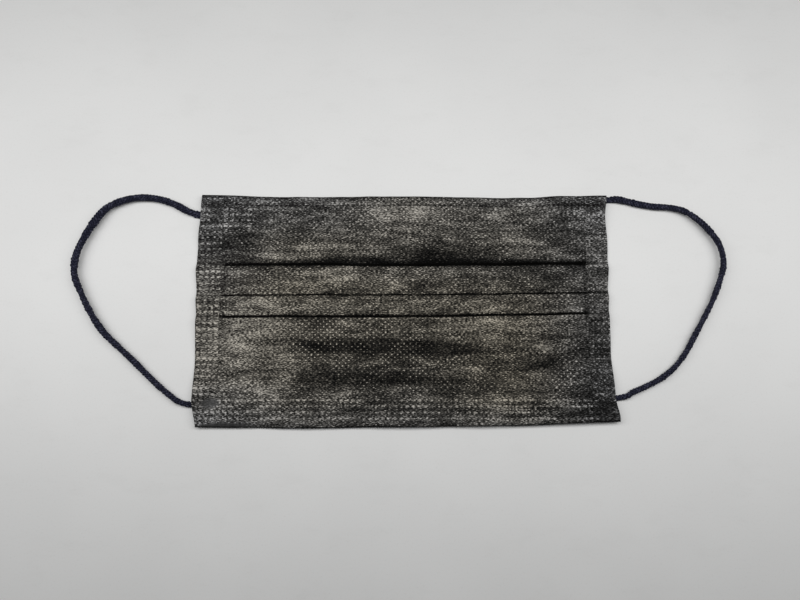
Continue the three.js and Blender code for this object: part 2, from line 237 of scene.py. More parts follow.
# The cloth's random swells: their height and length in millimetres, how much closer they lie along
# X and along Y, and the seed of each.
SWELLS = {
    "swell": (0.35, 24, 1, 1.6, 11),
    "ripple": (0.10, 7, 1, 1.5, 12),
    "pucker": (0.16, 5, 0.25, 1, 13),
    "edge_wander": (0.05, 16, 1, 1, 21),
}
PUCKER_REACH = 7 * MM
GROOVE_PLACE = 0.6
GROOVE_DEPTH = 0.4 * MM
# Painted shade along the panel's rounded upper and lower edges: how wide it is, in millimetres, and
# how dark.
RIM_WIDTH = 0.55
RIM_PAINTED_SHADE = 0.38
SEAM_DARKNESS = 0.02

# Where an oval's strength starts to fall and where it has gone, as shares of its half sizes.
DENT_FALL = (0.35, 1.5)
TONE_FALL = (0.2, 1.6)
POINT_FALL = (0.4, 1.4)
SMOOTH_FALL = (0.6, 1.15)

# The cord's uneven thickness: each share of it, the length of its swells in millimetres, its seed.
UNEVEN = ((0.06, 7, 31), (0.07, 1.5, 32))
TABLE_GAP = 0.02 * MM
CORE_SIDES = 12
CORE_EVERY = 6
STRAND_SHIFT = 0.31

# How finely the panel is meshed: across it, round and beside its folds, and in its seams.
COLUMN_STEP = 1.1 * MM
FOLD_STEP = np.radians(24.0)
LONG_RUN = 2 * MM
RUN_MARGIN = 0.01
CLOSEST_SHARES = 0.002
FINE_PLACES = np.arange(-0.4, 1.8, 0.28) * MM
SHOWN_STEP = 0.5 * MM
SHOWN_FOLD_STEP = np.radians(15.0)
SEAM_STEP = 0.3 * MM
SEAM_COLUMNS = 32
SEAM_LAP = 1.2 * MM
RIM_PLACES = np.array([0.0, 0.08, 0.2, 0.4]) * MM
RIM_DROP = 0.3 * MM
SEAM_SUNK = 0.06 * MM
SOFTENED = np.exp(-((np.arange(-12, 13) / 5.0) ** 2))
SPLINE_STEPS = 24
MAP_MARGIN = 0.01

# The strip above a pleat bends this much more widely where it presses over the hidden end.
TUCK_COVER = 3.0

# The cloth passes over the centre of a bend or under it, seen as it runs from the upper edge down.
OVER = 1.0
UNDER = -1.0

# The look of the cloth: where its joint lines and pressed bars lie, how its filaments are turned in
# degrees, and how strongly each of its textures shows.
HEM_JOINT = 4.6 * MM
HEM_JOINT_PITCH = 2.2 * MM
SEAM_JOINT = 76.6 * MM
HEM_BARS_TOP = (-37.6 * MM, -36.4 * MM)
HEM_BARS_FOOT = (-47 * MM, -45.5 * MM)
FIBRE_TURNS = (8.0, -24.0, 61.0, -71.0)
CLOUD_WEIGHT = 0.6
FLOCK_WEIGHT = 0.9
TUFT_WEIGHT = 1.53
SPECK_WEIGHT = 1.75
FIBRE_WEIGHT = 0.12
POINT_WEIGHT = 0.75
SEAM_POINT_WEIGHT = 0.40
LATTICE_WEIGHT = 0.03
BAR_WEIGHT = 0.50
MOST_SHINE = 1.8
CLOUD_SHADE = 0.97
DIRT_COLOUR = (0.45, 0.44, 0.42)

# The stage, in metres: where the camera aims, and where the light hangs and its two sides.
AIM_POINT = np.array([-0.0018, 0.004, 0.0])
LIGHT_PLACE = (-0.03, 0.05, 0.26)
LIGHT_SIDES = (0.95, 0.12)
ROOM_COLOUR = (0.97, 0.98, 1.0, 1.0)


# Small tools


def smoothstep(value, low, high):
    """0 below low, 1 above high, and an eased rise between them."""
    share = np.clip((value - low) / (high - low), 0, 1)
    return share * share * (3 - 2 * share)


def mix(first, second, share):
    return first + (second - first) * share


def waves(x, y, wavelength, seed, count=14):
    """A smooth random field from about -1 to 1, made of waves that run in many directions."""
    random = np.random.default_rng(seed)
    heading = random.uniform(0, TURN, count)
    rate = TURN / (wavelength * random.uniform(0.7, 1.5, count))
    phase = random.uniform(0, TURN, count)
    total = np.zeros(np.broadcast(x, y).shape)
    for angle, frequency, start in zip(heading, rate, phase):
        total += np.sin(frequency * (x * np.cos(angle) + y * np.sin(angle)) + start)
    return total / np.sqrt(count)


def swell(kind, x, y):
    height, wavelength, closer_x, closer_y, seed = SWELLS[kind]
    return height * MM * waves(x * closer_x, y * closer_y, wavelength * MM, seed)


def eased_columns(table, y):
    """Every column of a table at any y, in metres, eased between its rows."""
    rows = np.array(table)[::-1] * MM
    heights = rows[:, 0]
    below = np.clip(np.searchsorted(heights, y) - 1, 0, len(heights) - 2)
    share = smoothstep(y, heights[below], heights[below + 1])[..., None]
    return mix(rows[below, 1:], rows[below + 1, 1:], share)


def across_value(table, x, y):
    """A table's value at any point of the panel, eased between its five places across."""
    columns = np.moveaxis(eased_columns(table, y), -1, 0)
    position = np.clip((x / HALF_LENGTH + 1) / 2, 0, 1) * (len(columns) - 1)
    return sum(
        column * (1 - smoothstep(np.abs(position - place), 0, 1))
        for place, column in enumerate(columns)
    )


def patches(table, x, y, fall):
    """The sum of a table's ovals, each with its own strength and an eased fall around it."""
    total = np.zeros(np.broadcast(x, y).shape)
    for middle_x, middle_y, half_length, half_width, strength, *turn in table:
        angle = np.radians(turn[0]) if turn else 0
        over_x, over_y = x / MM - middle_x, y / MM - middle_y
        along = over_x * np.cos(angle) + over_y * np.sin(angle)
        aside = over_y * np.cos(angle) - over_x * np.sin(angle)
        reach = np.hypot(along / half_length, aside / half_width)
        total += strength * (1 - smoothstep(reach, *fall))
    return total


def distance_to_run(x, y, start, end):
    """How far each point is from the straight run between two points."""
    run = end - start
    share = ((x - start[0]) * run[0] + (y - start[1]) * run[1]) / (run @ run)
    share = np.clip(share, 0, 1)
    return np.hypot(x - start[0] - share * run[0], y - start[1] - share * run[1])


def path_lengths(line):
    """The length along a line of points at each of them."""
    steps = np.linalg.norm(np.diff(line, axis=0), axis=1)
    return np.concatenate([[0], np.cumsum(steps)])


def smooth_path(points, step):
    """A centripetal spline through the points, as even places about step apart."""
    knots = np.vstack([2 * points[0] - points[1], points, 2 * points[-1] - points[-2]])
    fine = []
    for i in range(1, len(knots) - 2):
        p0, p1, p2, p3 = knots[i - 1 : i + 3]
        t1 = np.linalg.norm(p1 - p0) ** 0.5
        t2 = t1 + np.linalg.norm(p2 - p1) ** 0.5
        t3 = t2 + np.linalg.norm(p3 - p2) ** 0.5
        t = np.linspace(t1, t2, SPLINE_STEPS, endpoint=False)[:, None]
        a1 = mix(p0, p1, t / t1)
        a2 = mix(p1, p2, (t - t1) / (t2 - t1))
        a3 = mix(p2, p3, (t - t2) / (t3 - t2))
        b1 = mix(a1, a2, t / t2)
        b2 = mix(a2, a3, (t - t1) / (t3 - t1))
        fine.append(mix(b1, b2, (t - t1) / (t2 - t1)))
    line = np.vstack([*fine, points[-1]])
    along = path_lengths(line)
    at = np.linspace(0, along[-1], int(np.ceil(along[-1] / step)) + 1)
    return np.stack([np.interp(at, along, axis) for axis in line.T], axis=1)


# Meshes


def mesh_object(name, points, faces, uv_maps=(), attributes=None):
    """A mesh of quads, with UV maps given for each face's corners and numbers for each point."""
    mesh = bpy.data.meshes.new(name)
    mesh.vertices.add(len(points))
    mesh.vertices.foreach_set("co", np.asarray(points, np.float32).ravel())
    mesh.loops.add(faces.size)
    mesh.loops.foreach_set("vertex_index", faces.astype(np.int32).ravel())
    mesh.polygons.add(len(faces))
    mesh.polygons.foreach_set("loop_start", np.arange(0, faces.size, 4, dtype=np.int32))
    mesh.polygons.foreach_set("use_smooth", np.ones(len(faces), bool))
    for title, corners in uv_maps:
        layer = mesh.uv_layers.new(name=title)
        layer.data.foreach_set("uv", np.asarray(corners, np.float32).ravel())
    for title, values in (attributes or {}).items():
        attribute = mesh.attributes.new(title, "FLOAT", "POINT")
        attribute.data.foreach_set("value", np.asarray(values, np.float32).ravel())
    mesh.update(calc_edges=True)
    mesh.validate()
    piece = bpy.data.objects.new(name, mesh)
    bpy.context.scene.collection.objects.link(piece)
    return piece


def lofted_rings(rings, cut, cut_around):
    """Points, faces and UV maps of a closed loft. rings holds (stations, ring, 3) points, whose two
    halves run out and back along the section. cut and cut_around are their places on the flat
    cloth. The maps are the flat cloth's and an even one."""
    stations, size = rings.shape[:2]
    i, j = (index.ravel() for index in np.indices((stations - 1, size)))
    after = (j + 1) % size
    sides = np.stack([i * size + j, (i + 1) * size + j, (i + 1) * size + after, i * size + after])
    k = np.arange(size // 2 - 1)
    first = np.stack([k, k + 1, size - 2 - k, size - 1 - k])
    last = (stations - 1) * size + first[::-1]
    faces = np.concatenate([sides, first, last], axis=1).T
    station, place = faces // size, faces % size
    flat_map = np.stack([cut[station], cut_around[place]], axis=-1)
    even_y = place / size
    even_y[(place[:, 0] == size - 1) & (place[:, 3] == 0), 2:] = 1
    even_map = np.stack([station / (stations - 1), even_y], axis=-1)
    even_map = even_map * (1 - 2 * MAP_MARGIN) + MAP_MARGIN
    return rings.reshape(-1, 3), faces, [("cut", flat_map), ("OFBake", even_map)]


# The folded cloth


def sheet_bends(cloth):
    """The bends of the folded section, from the upper hem down: where each is centred, its radius,
    and whether the cloth passes over it or under it."""
    radius = (cloth.wall + cloth.layer_gap) / 2
    reach = radius + cloth.wall / 2
    low = cloth.clearance + cloth.wall / 2
    high = low + 2 * radius
    upper_hem_end = UPPER_EDGE - UPPER_HEM
    lower_hem_start = LOWER_EDGE + LOWER_HEM
    bends = [
        (upper_hem_end, low, 0, OVER),
        (UPPER_EDGE - reach, low + radius, radius, OVER),
        (upper_hem_end, high - HEM_BEND, HEM_BEND, OVER),
    ]
    for pleat in PLEATS:
        tuck = (pleat.fold - pleat.hidden) * MM + reach
        bends.append((tuck, low + radius, radius, UNDER))
        bends.append((pleat.fold * MM - reach, pleat.height * MM, radius, OVER))
        if pleat.presses_over:
            bends.append((tuck, low + radius, TUCK_COVER * radius, OVER))
    return bends + [
        (VALLEY_Y, low + VALLEY_RADIUS, VALLEY_RADIUS, UNDER),
        (lower_hem_start, high - HEM_BEND, HEM_BEND, OVER),
        (LOWER_EDGE + reach, low + radius, radius, OVER),
        (lower_hem_start, low, 0, OVER),
    ]


def run_direction(start, end):
    """The direction of the straight run that touches two bends, as a belt touches two pulleys."""
    run_y, run_z = end[0] - start[0], end[1] - start[1]
    slack = (start[3] * start[2] - end[3] * end[2]) / np.hypot(run_y, run_z)
    return np.arctan2(run_z, run_y) + np.arcsin(slack)


def run_shares(start, end, step):
    """Where the points lie along a straight run: even steps, and finer ones beside each fold."""
    reach = end[0] - start[0]
    steps = max(int(np.ceil(np.hypot(reach, end[1] - start[1]) / step)), 1)
    shares = np.linspace(0, 1, steps + 1)
    if abs(reach) > LONG_RUN:
        beside = np.concatenate([pleat.fold * MM + FINE_PLACES for pleat in PLEATS])
        shares = np.concatenate([shares, (beside - start[0]) / reach])
    shares = np.sort(shares[(shares > RUN_MARGIN) & (shares < 1 - RUN_MARGIN)])
    return shares[np.diff(shares, prepend=-1) > CLOSEST_SHARES]


def sheet_face(bends, offset, step, fold_step):
    """One face of the folded sheet, as points (y, z). A positive offset gives the shown face."""
    points = []
    for i, bend in enumerate(bends):
        y, z, radius, side = bend
        into = run_direction(bends[max(i - 1, 0)], bends[max(i, 1)])
        out = run_direction(bend, bends[i + 1]) if i < len(bends) - 1 else into
        turn = (side * (out - into)) % TURN
        steps = int(np.ceil(turn * max(radius / step, 1 / fold_step)))
        direction = into + side * turn * np.arange(steps + 1) / max(steps, 1)
        reach = side * radius + offset
        arc = np.stack([y + reach * np.sin(direction), z - reach * np.cos(direction)], axis=1)
        if points:
            shares = run_shares(bends[i - 1], bend, step)
            points.extend(mix(points[-1], arc[0], shares[:, None]))
        points.extend(arc)
    return np.array(points)


def corner_lift(x, y):
    """How far the flattened loop ends raise the corners that lie on them."""
    runs = (np.multiply(ends, MM) for ends in FUSED_ENDS.values())
    nearest = np.min([distance_to_run(x, y, *run) for run in runs], axis=0)
    fade = smoothstep(nearest, LIFTED_HALF_WIDTH, LIFTED_HALF_WIDTH + LIFT_FADE)
    return CLOTH_OVER_END * (1 - fade)


def fine_relief(x, y, strength):
    """Small swells, puckers beside the seams, creases and dents that all layers share."""
    inward = np.maximum(SEAM_START - np.abs(x), 0)
    free = smoothstep(inward, 0, 22 * MM)
    limp = mix(0.25, 1, smoothstep(UPPER_EDGE - y, 2 * MM, 14 * MM))
    puckered = np.exp(-inward / PUCKER_REACH) * smoothstep(inward, 0, 1.5 * MM)
    rise = (swell("swell", x, y) * limp + swell("ripple", x, y)) * free
    rise += swell("pucker", x, y) * puckered
    return rise * strength - patches(DENTS, x, y, DENT_FALL) * MM


def beside_fold(y, pleat):
    """1 in the narrow groove beside a folded edge, where the cloth dives under the fold."""
    return np.exp(-(((y / MM - pleat.fold) / pleat.width - GROOVE_PLACE) ** 2))


def cloth_tone_and_shade(x, y, folded_y):
    """Where the cloth is painted darker or paler: random patches where the filaments lie denser and
    paler or thinner and darker, mixed with painted shade along the valleys and creases, in the
    grooves beside the folded edges and along the rounded upper and lower edges, and slightly darker
    in the seams.
    """
    in_seam = smoothstep(np.abs(x), SEAM_START - 2 * MM, SEAM_START + 0.5 * MM)
    # Painted shade in the groove beside each folded edge, with less of it on the seams.
    painted_groove_shade = 0
    for pleat in PLEATS:
        shown = mix(1, np.where(x < 0, pleat.left, pleat.right), in_seam)
        painted_groove_shade = painted_groove_shade + beside_fold(folded_y, pleat) * pleat.darkness * shown
    # Painted shade along the rounded upper and lower edges.
    from_edge = np.minimum(UPPER_EDGE - folded_y, folded_y - LOWER_EDGE) / MM
    painted_rim_shade = RIM_PAINTED_SHADE * np.exp(-((from_edge / RIM_WIDTH) ** 2))
    return patches(SHADE_AND_TONE_PATCHES, x, y, TONE_FALL) - painted_groove_shade - painted_rim_shade - SEAM_DARKNESS * in_seam


def cloth_looks(points, folded_y):
    """The named numbers of the cloth's look at each point."""
    x, y = points[..., 0], points[..., 1]
    textured = 1 - patches(SMOOTH_SPOTS, x, y, SMOOTH_FALL)
    return {
        "tone_and_painted_light": cloth_tone_and_shade(x, y, folded_y),
        "warmth": across_value(WARMTH_TABLE, x, y) / MM * textured,
        "clear_points": patches(POINT_FIELDS, x, y, POINT_FALL),
        "textured": textured,
        "below_edge": UPPER_EDGE - folded_y + 0 * x,
    }


def lay_down(x, y, z, cloth):
    """Moves points of the straight folded shape to where the relaxed cloth holds them."""
    pressed = smoothstep(np.abs(x), PRESS_START, SEAM_START)
    piled = np.maximum(z - cloth.clearance - cloth.wall, 0)
    ends = eased_columns(END_TABLE, y)
    end = np.abs(np.where(x < 0, ends[..., 0], ends[..., 1]))
    into_seam = np.maximum(np.abs(x) - SEAM_START, 0)
    laid_x = x + np.sign(x) * into_seam * (end - HALF_LENGTH) / SEAM_WIDTH
    laid_y = y + across_value(BOW_TABLE, x, y) + swell("edge_wander", x, y)
    lifted = across_value(LIFT_TABLE, x, y) + corner_lift(laid_x, laid_y)
    groove = sum(beside_fold(y, pleat) for pleat in PLEATS)
    groove = groove * (1 - smoothstep(into_seam, 0, 3 * MM))
    laid_z = z - piled * (1 - SEAM_PRESS) * pressed + lifted
    laid_z = laid_z + fine_relief(laid_x, laid_y, cloth.relief) - GROOVE_DEPTH * groove
    return np.stack([laid_x, laid_y, np.maximum(laid_z, LEAST_HEIGHT)], axis=-1)


def panel_piece(cloth):
    """The folded sheet between the two seams, as one closed mesh."""
    bends = sheet_bends(cloth)
    outer = sheet_face(bends, cloth.wall / 2, cloth.mesh_step, FOLD_STEP)
    inner = sheet_face(bends, -cloth.wall / 2, cloth.mesh_step, FOLD_STEP)
    folded_y, height = np.vstack([outer, inner[::-1]]).T
    reach = SEAM_START + SEAM_GRIP
    places = np.linspace(-reach, reach, int(2 * reach / COLUMN_STEP) + 1)
    x = places[:, None] + 0 * folded_y
    rings = lay_down(x, folded_y + 0 * x, height + 0 * x, cloth)
    arc = path_lengths(outer)
    loft = lofted_rings(rings, places, np.concatenate([arc, arc[::-1] + 2 * arc[-1]]))
    return mesh_object("pleated_panel_cloth", *loft, cloth_looks(rings, folded_y))


def seam_steps(cloth):
    """The steps that the folded cloth shows from above, as heights at even places along Y."""
    face = sheet_face(sheet_bends(cloth), cloth.wall / 2, SHOWN_STEP, SHOWN_FOLD_STEP)
    upper, lower = np.argmax(face[:, 0]), np.argmin(face[:, 0])
    shown = face[upper : lower + 1][::-1]
    low, high = shown[0, 0], shown[-1, 0]
    places = np.linspace(low, high, int((high - low) / SEAM_STEP) + 1)
    heights = np.full(len(places), -np.inf)
    for start, end in zip(shown[:-1], shown[1:]):
        if end[0] > start[0]:
            inside = (places >= start[0]) & (places <= end[0])
            share = (places[inside] - start[0]) / (end[0] - start[0])
            heights[inside] = np.maximum(heights[inside], mix(start[1], end[1], share))
    return places, heights


def weld_dashes(x, y, cloth):
    """The columns of short bars that the sealing tool pressed into a seam, from 0 to 1."""
    column = np.cos(TURN * (np.abs(x) - SEAM_START) / cloth.dash_pitch_x)
    row = np.cos(TURN * y / cloth.dash_pitch_y)
    return (1 - smoothstep(column, -0.6, 0.2)) * (1 - smoothstep(row, -0.9, 0.1))


def seam_piece(name, side, cloth):
    """One fused side seam: a slab whose top shows the pleats' steps and the sealing tool's bars."""
    places, heights = seam_steps(cloth)
    middle = np.linspace(SEAM_START - SEAM_LAP, HALF_LENGTH - RIM_PLACES[-1], SEAM_COLUMNS)[:-1]
    stations = np.concatenate([middle, (HALF_LENGTH - RIM_PLACES)[::-1]])
    near_rim = np.clip(1 - (HALF_LENGTH - stations) / RIM_PLACES[-1], 0, 1)
    rounding = RIM_DROP * (1 - np.sqrt(1 - near_rim**2))
    padded = np.pad(heights, len(SOFTENED) // 2, mode="edge")
    softened = np.convolve(padded, SOFTENED / SOFTENED.sum(), mode="valid")
    outward = smoothstep(stations, SEAM_START + 0.5 * MM, SEAM_START + 5 * MM)
    steps = mix(heights, softened, outward[:, None])
    skin = cloth.seam_skin * smoothstep(stations, SEAM_START - SEAM_LAP, SEAM_START + 1.5 * MM)
    x = side * stations[:, None] + 0 * places
    y = places + 0 * x
    top = lay_down(x, y, steps + (skin - SEAM_SUNK)[:, None], cloth)
    top[..., 2] -= cloth.dash_depth * weld_dashes(x, top[..., 1], cloth) + rounding[:, None]
    foot = lay_down(x, y, 0 * x, cloth)
    foot[..., 2] = np.minimum(foot[..., 2], top[..., 2] - RIM_DROP)
    rings = np.concatenate([foot, top[:, ::-1]], axis=1)
    if side < 0:
        rings, x = rings[::-1], x[::-1]
    arc = path_lengths(np.stack([places, heights], axis=1))
    loft = lofted_rings(rings, x[:, 0], -np.concatenate([arc + 2 * arc[-1], arc[::-1]]))
    looks = cloth_looks(rings, np.concatenate([places, places[::-1]]))
    return mesh_object(name, *loft, looks)


# The ear loops


def cord_sections(side, loop):
    """The whole cord's centreline from one inner end to the other, its half widths and half
    heights there, and where the free loop starts and ends along it."""
    full = loop.diameter / 2
    flat_z = FUSED_THICKNESS / 2 / MM
    hidden = []
    for level in ("upper", "lower"):
        inner, outer = np.array(FUSED_ENDS[f"{level}_{side}"])
        hidden.append([(*inner, flat_z), (*mix(inner, outer, 0.5), flat_z)])
    route = np.array(LOOP_ROUTES[side])
    line = smooth_path(np.vstack([hidden[0], route, hidden[1][::-1]]) * MM, loop.step)
    along = path_lengths(line)
    ends = (np.linalg.norm(line - place * MM, axis=1) for place in route[[0, -1]])
    start, end = (along[np.argmin(away)] for away in ends)
    swelling = smoothstep(along, start - SWELL_LENGTH, start)
    swelling = swelling - smoothstep(along, end, end + SWELL_LENGTH)
    outside = smoothstep(np.abs(line[:, 0]), HALF_LENGTH - 4 * MM, HALF_LENGTH - 0.5 * MM)
    uneven = 1 + sum(
        share * waves(along, 0 * along, size * MM, seed) for share, size, seed in UNEVEN
    )
    share = (along - start) / (end - start)
    wide = np.interp(share, np.linspace(0, 1, len(LOOP_WIDTHS[side])), LOOP_WIDTHS[side])
    half_width = mix(FUSED_WIDTH / 2, full * wide, outside) * uneven
    half_height = mix(FUSED_THICKNESS / 2, full * uneven, swelling)
    lowest = half_height + TABLE_GAP
    line[:, 2] = mix(lowest, np.maximum(line[:, 2], lowest), swelling)
    return line, along, half_width, half_height, start, end


def cord_rings(sections, reach, angle, slant):
    """Rings of points round a cord. Each point has its share of the half sizes, its angle from
    sideways, and how far it is set back along the cord."""
    line, _, half_width, half_height = sections
    ahead = np.gradient(line, axis=0)
    ahead /= np.linalg.norm(ahead, axis=1, keepdims=True)
    aside = np.cross((0, 0, 1), ahead)
    aside /= np.linalg.norm(aside, axis=1, keepdims=True)
    up = np.cross(ahead, aside)
    across = half_width[:, None] * reach * np.cos(angle)
    above = half_height[:, None] * reach * np.sin(angle)
    rings = line[:, None] + aside[:, None] * across[..., None] + up[:, None] * above[..., None]
    return rings - ahead[:, None] * np.reshape(slant, (-1, 1))


def braid_strands(sections, loop):
    """The braid's strands as rings of points, over and under by twos."""
    along = sections[1]
    radius = loop.diameter / 2
    thick = loop.strand_thickness / 2
    middle = 1 - thick / radius
    crossings = along / loop.lead * 2 * loop.strands
    spin = TURN * np.arange(loop.strand_sides) / loop.strand_sides
    sideways = loop.strand_width / 2 * np.cos(spin)
    for turn in (1, -1):
        slope = turn * TURN * radius * middle / loop.lead
        lean = 1 / np.hypot(1, slope)
        for k in range(loop.strands):
            angle = TURN * k / loop.strands + turn * TURN * along / loop.lead
            beat = TURN * (turn * crossings + 2 * k - 0.5) / 4
            radial = middle + turn * loop.weave / radius * np.cos(beat)
            swing = angle[:, None] + sideways * lean / (radius * middle)
            reach = radial[:, None] + thick * np.sin(spin) / radius
            yield cord_rings(sections, reach, swing, sideways * slope * lean)


def tube_parts(rings, along):
    """Faces and strand coordinates of one tube, with both ends closed by fans of quads."""
    places, sides = rings.shape[:2]
    i, j = (index.ravel() for index in np.indices((places - 1, sides)))
    after = (j + 1) % sides
    base, top = i * sides, (i + 1) * sides
    faces = np.stack([base + j, base + after, top + after, top + j])
    k = np.arange(sides // 2 - 1)
    start = np.stack([k, sides - 1 - k, sides - 2 - k, k + 1])
    end = start[::-1] + (places - 1) * sides
    faces = np.concatenate([faces, start, end], axis=1).T
    across = (faces % sides) / sides
    across[(faces[:, 1] % sides == 0) & (faces[:, 0] % sides == sides - 1), 1:3] = 1
    return faces, np.stack([across, along[faces // sides]], axis=-1)


def braid_piece(name, sections, loop):
    """A stretch of the braided cord with the smooth elastic core that fills it, as one mesh."""
    along = sections[1]
    tubes = [(rings, along) for rings in braid_strands(sections, loop)]
    share = 1 - (loop.strand_thickness + loop.weave) / (loop.diameter / 2)
    core = cord_rings(sections, share, TURN * np.arange(CORE_SIDES) / CORE_SIDES, 0)
    picked = np.unique(np.append(np.arange(0, len(along), CORE_EVERY), len(along) - 1))
    tubes.append((core[picked], along[picked]))
    points, faces, corners, first = [], [], [], 0
    for number, (rings, places) in enumerate(tubes):
        tube_faces, tube_corners = tube_parts(rings, places + number * STRAND_SHIFT)
        points.append(rings.reshape(-1, 3))
        faces.append(tube_faces + first)
        corners.append(tube_corners)
        first += len(points[-1])
    return mesh_object(name, np.vstack(points), np.vstack(faces), [("strand", np.vstack(corners))])


# Materials


class Value:
    """What a node gives, with short calls for the nodes that take it in."""

    def __init__(self, finish, socket):
        self.node = finish.node
        self.socket = socket

    def math(self, operation, *others):
        inputs = dict(enumerate((self, *others)))
        return self.node("ShaderNodeMath", inputs, operation=operation)

    __add__ = partialmethod(math, "ADD")
    __sub__ = partialmethod(math, "SUBTRACT")
    __mul__ = partialmethod(math, "MULTIPLY")
    __abs__ = partialmethod(math, "ABSOLUTE")

    def wave(self, pitch, kind="COSINE"):
        return (self * (TURN / pitch)).math(kind)

    def ramp(self, low, high, to_low=0.0, to_high=1.0):
        """Maps low..high to another range with an eased, clamped rise."""
        names = ("Value", "From Min", "From Max", "To Min", "To Max")
        inputs = dict(zip(names, (self, low, high, to_low, to_high)))
        return self.node("ShaderNodeMapRange", inputs, interpolation_type="SMOOTHSTEP")

    def times(self, *scale):
        return self.node("ShaderNodeVectorMath", {0: self, 1: scale}, operation="MULTIPLY")

    def moved(self, *shift):
        return self.node("ShaderNodeVectorMath", {0: self, 1: shift}, operation="ADD")

    def noise(self, size, detail=2.0, roughness=0.5, distortion=0.0):
        """Noise over this vector, whose blobs are about size metres wide."""
        names = ("Vector", "Scale", "Detail", "Roughness", "Distortion")
        inputs = dict(zip(names, (self, 1.0 / size, detail, roughness, distortion)))
        return self.node("ShaderNodeTexNoise", inputs)

    def blend(self, *colours):
        """A mix of two colours, with as much of the second as this value says."""
        first, second = (end if isinstance(end, Value) else (*end, 1.0) for end in colours)
        inputs = {0: self, 6: first, 7: second}
        return self.node("ShaderNodeMix", inputs, 2, data_type="RGBA")

    def bump(self, distance):
        inputs = {"Height": self, "Distance": distance, "Strength": 0.8}
        return self.node("ShaderNodeBump", inputs)


class Finish:
    """A node material in the making."""

    def __init__(self, name):
        self.material = bpy.data.materials.new(name)
        self.material.use_nodes = True
        self.tree = self.material.node_tree
        self.shader = self.tree.nodes["Principled BSDF"]

    def put(self, value, socket):
        """Links a value to a socket, or sets the socket to a plain number or colour."""
        if isinstance(value, Value):
            self.tree.links.new(value.socket, socket)
        else:
            socket.default_value = value

    def node(self, kind, inputs=None, output=0, **settings):
        """Makes a node, fills its inputs by name or number, and returns one of its outputs."""
        made = self.tree.nodes.new(kind)
        for name, setting in settings.items():
            setattr(made, name, setting)
        for name, value in (inputs or {}).items():
            self.put(value, made.inputs[name])
        return Value(self, made.outputs[output])

    def attribute(self, name):
        """A number that the mesh holds for each of its points."""
        return self.node("ShaderNodeAttribute", output="Fac", attribute_name=name)

    def uv(self, name):
        return self.node("ShaderNodeUVMap", uv_map=name)

    def place(self):
        return self.node("ShaderNodeTexCoord", output="Object")

    def sides(self, vector):
        """The X and the Y of a vector."""
        x = self.node("ShaderNodeSeparateXYZ", {0: vector})
        return x, Value(self, x.socket.node.outputs["Y"])

    def set(self, **values):
        for name, value in values.items():
            self.put(value, self.shader.inputs[name.replace("_", " ")])


def fibres(finish, cut):
    """Pale filaments that run in several directions over the cloth."""
    total = 0.0
    for number, degrees in enumerate(FIBRE_TURNS):
        inputs = {"Vector": cut, "Rotation": (0.0, 0.0, np.radians(degrees))}
        grain = finish.node("ShaderNodeMapping", inputs).times(0.22, 1, 1)
        grain = grain.moved(0.137 * number, 0.291 * number, 0)
        total = grain.noise(0.55 * MM, 1.5, 0.5, 0.6).ramp(0.58, 0.74).math("MAXIMUM", total)
    return total


def bond_points(finish, cut, cloth):
    """The staggered lattice of small points where the filaments are melted together."""
    wander = cut.noise(9 * MM, 1) - 0.5
    x, y = finish.sides(cut)
    along = (x + wander * (0.9 * MM)).wave(cloth.bond_pitch_x)
    return along * (y - wander * (0.7 * MM)).wave(cloth.bond_pitch_y)


def pressed_bars(x, y, cloth):
    """The columns of short bars that the sealing tool pressed, from 0 to 1."""
    column = (abs(x) - SEAM_START).wave(cloth.dash_pitch_x)
    return column.ramp(0, 0.8, 1, 0) * y.wave(cloth.dash_pitch_y).ramp(-0.95, -0.1, 1, 0)


def pressed_seam(x, y):
    """How clearly a seam shows its bars: less on the right seam and towards the upper corners."""
    return x.ramp(-40 * MM, 40 * MM, 1, 0.55) * y.ramp(18 * MM, 36 * MM, 1, 0.7)


def pressed_fields(x, y):
    """1 on the bars beside a welded loop end, less on the lower hem, and 0 elsewhere."""
    weld_x, weld_y = (
        abs(value - middle * MM).ramp((half - 0.8) * MM, (half + 0.8) * MM, 1, 0)
        for value, middle, half in zip((x, y), WELD_FIELD[:2], WELD_FIELD[2:])
    )
    hem = y.ramp(*HEM_BARS_TOP, 0.8, 0) * y.ramp(*HEM_BARS_FOOT)
    return hem.math("MAXIMUM", weld_x * weld_y)


def joint_lines(finish, x, y, place):
    """How dark the thin lines are where the upper hem and the side seams are joined."""
    wander = place.noise(20 * MM, 0) * (0.8 * MM)
    away = abs(finish.attribute("below_edge") + wander - HEM_JOINT)
    hem = away.ramp(0.1 * MM, 0.6 * MM, 0.30, 0)
    hem = hem * x.wave(HEM_JOINT_PITCH).ramp(-0.8, 0.4, 0.3, 1)
    seam = abs(abs(x) - SEAM_JOINT).ramp(0.1 * MM, 0.9 * MM, 0.20, 0)
    seam = seam * y.ramp(16 * MM, 22 * MM, 1, 0) * y.ramp(-12 * MM, -4 * MM, 0.2, 1)
    return hem + seam * x.ramp(-10 * MM, 10 * MM, 0.4, 1)


